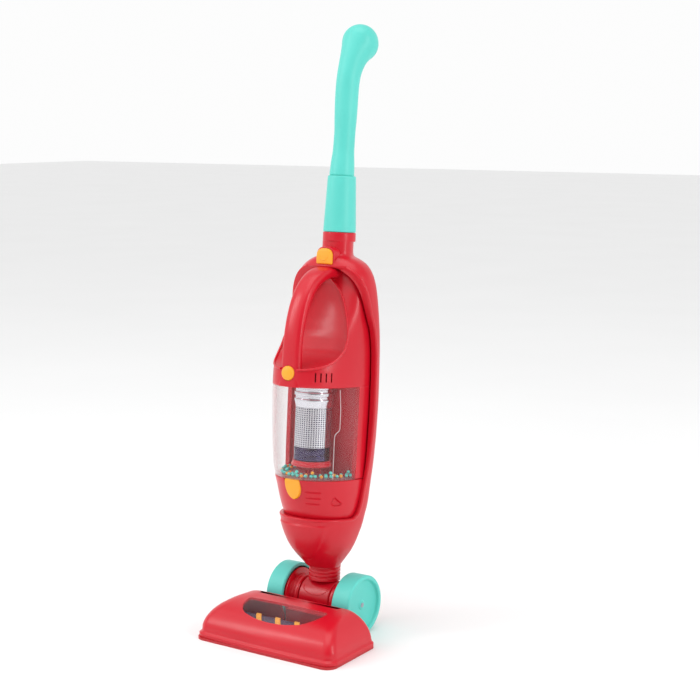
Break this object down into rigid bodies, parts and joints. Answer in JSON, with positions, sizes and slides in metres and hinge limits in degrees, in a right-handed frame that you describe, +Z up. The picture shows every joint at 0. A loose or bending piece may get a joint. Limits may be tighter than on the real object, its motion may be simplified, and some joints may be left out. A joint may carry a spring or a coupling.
{
  "type": "upright vacuum cleaner",
  "caption": "Child-size upright vacuum: low floor head on two big wheels, pole that reclines, curved ball grip, and a docked handheld with clear cup.",
  "frame": {"origin": "on the floor straight below the wheel axle, midway between the wheels, on the base plate's underside", "axes": "+Z up along the height, +Y backwards (the way the pole reclines), +X to the cleaner's left seen from the front"},
  "size_m": [0.176, 0.2008, 0.6389],
  "materials": {
    "red_plastic": "glossy moulded ABS, signal red",
    "turquoise_plastic": "semi-gloss moulded plastic, light turquoise",
    "yellow_plastic": "semi-gloss moulded plastic, orange yellow",
    "clear_plastic": "clear polished styrene",
    "brush_plastic": "matt dark navy plastic",
    "chrome_plating": "bright vacuum-plated chrome",
    "dark_chrome": "smooth dark vacuum-plated chrome",
    "steel": "plain steel",
    "nylon": "natural nylon",
    "battery_wrap": "printed-free metallic wrap on dry cells",
    "board_green": "solder-masked circuit board",
    "black_plastic": "black plastic"
  },
  "bodies": {
    "head": {"hood": "red_plastic", "base_plate": "red_plastic", "hood_window": "clear_plastic", "axle_housing": "red_plastic", "axle_bushes": "nylon", "brush_bearings": "nylon", "head_screws": "steel"},
    "wheelset": {"wheel_left": "turquoise_plastic", "wheel_right": "turquoise_plastic", "wheel_axle": "steel"},
    "brush": {"brush_roll": "brush_plastic", "brush_bands": "yellow_plastic", "brush_shaft": "steel"},
    "upright": {"cradle_front": "red_plastic", "cradle_back": "red_plastic", "pivot_neck": "red_plastic", "handle_lower": "turquoise_plastic", "handle_upper": "turquoise_plastic", "handle_plug": "turquoise_plastic", "latch_spring": "steel", "cradle_screws": "steel"},
    "latch": {"latch_button": "yellow_plastic"},
    "handheld": {"case_left": "red_plastic", "case_right": "red_plastic", "base_housing": "red_plastic", "cup_back": "red_plastic", "dust_cup": "clear_plastic", "filter_cap": "chrome_plating", "filter_screen": "chrome_plating", "filter_base": "dark_chrome", "filter_foot": "red_plastic", "beads_turquoise": "turquoise_plastic", "beads_yellow": "yellow_plastic", "battery_door": "red_plastic", "batteries": "battery_wrap", "battery_contacts": "steel", "circuit_board": "board_green", "speaker": "black_plastic", "power_switch": "black_plastic", "motor": "steel", "unit_screws": "steel", "power_spring": "steel", "shield_spring": "steel"},
    "power_knob": {"power_button": "yellow_plastic"},
    "cup_release": {"shield_button": "yellow_plastic"},
    "impeller": {"fan": "red_plastic"}
  },
  "joints": [
    {"name": "recline", "type": "hinge", "parent": "head", "child": "upright", "pos_m": [0, 0, 0.032], "axis": [-1, 0, 0], "range_deg": [0, 82]},
    {"name": "wheel_spin", "type": "hinge", "parent": "head", "child": "wheelset", "pos_m": [0, 0, 0.032], "axis": [1, 0, 0], "continuous": true},
    {"name": "brush_spin", "type": "hinge", "parent": "head", "child": "brush", "pos_m": [0, -0.077, 0.016], "axis": [1, 0, 0], "continuous": true},
    {"name": "handheld_tilt", "type": "hinge", "parent": "upright", "child": "handheld", "pos_m": [0, -0.04347, 0.12971], "axis": [1, 0, 0], "range_deg": [0, 30]},
    {"name": "latch_press", "type": "slide", "parent": "upright", "child": "latch", "axis": [0, 0.9969, -0.0785], "range_m": [0, 0.0025], "stiffness_N_per_m": 400, "springref_m": -0.001, "deforming": ["latch_spring"]},
    {"name": "power_press", "type": "slide", "parent": "handheld", "child": "power_knob", "axis": [0, 0.9969, -0.0785], "range_m": [0, 0.002], "stiffness_N_per_m": 300, "springref_m": -0.001, "deforming": ["power_spring"]},
    {"name": "shield_press", "type": "slide", "parent": "handheld", "child": "cup_release", "axis": [0, 0.9969, -0.0785], "range_m": [0, 0.002], "stiffness_N_per_m": 300, "springref_m": -0.001, "deforming": ["shield_spring"]},
    {"name": "fan_spin", "type": "hinge", "parent": "handheld", "child": "impeller", "pos_m": [0, -0.02184, 0.17515], "axis": [0, 0.0785, 0.9969], "continuous": true}
  ]
}
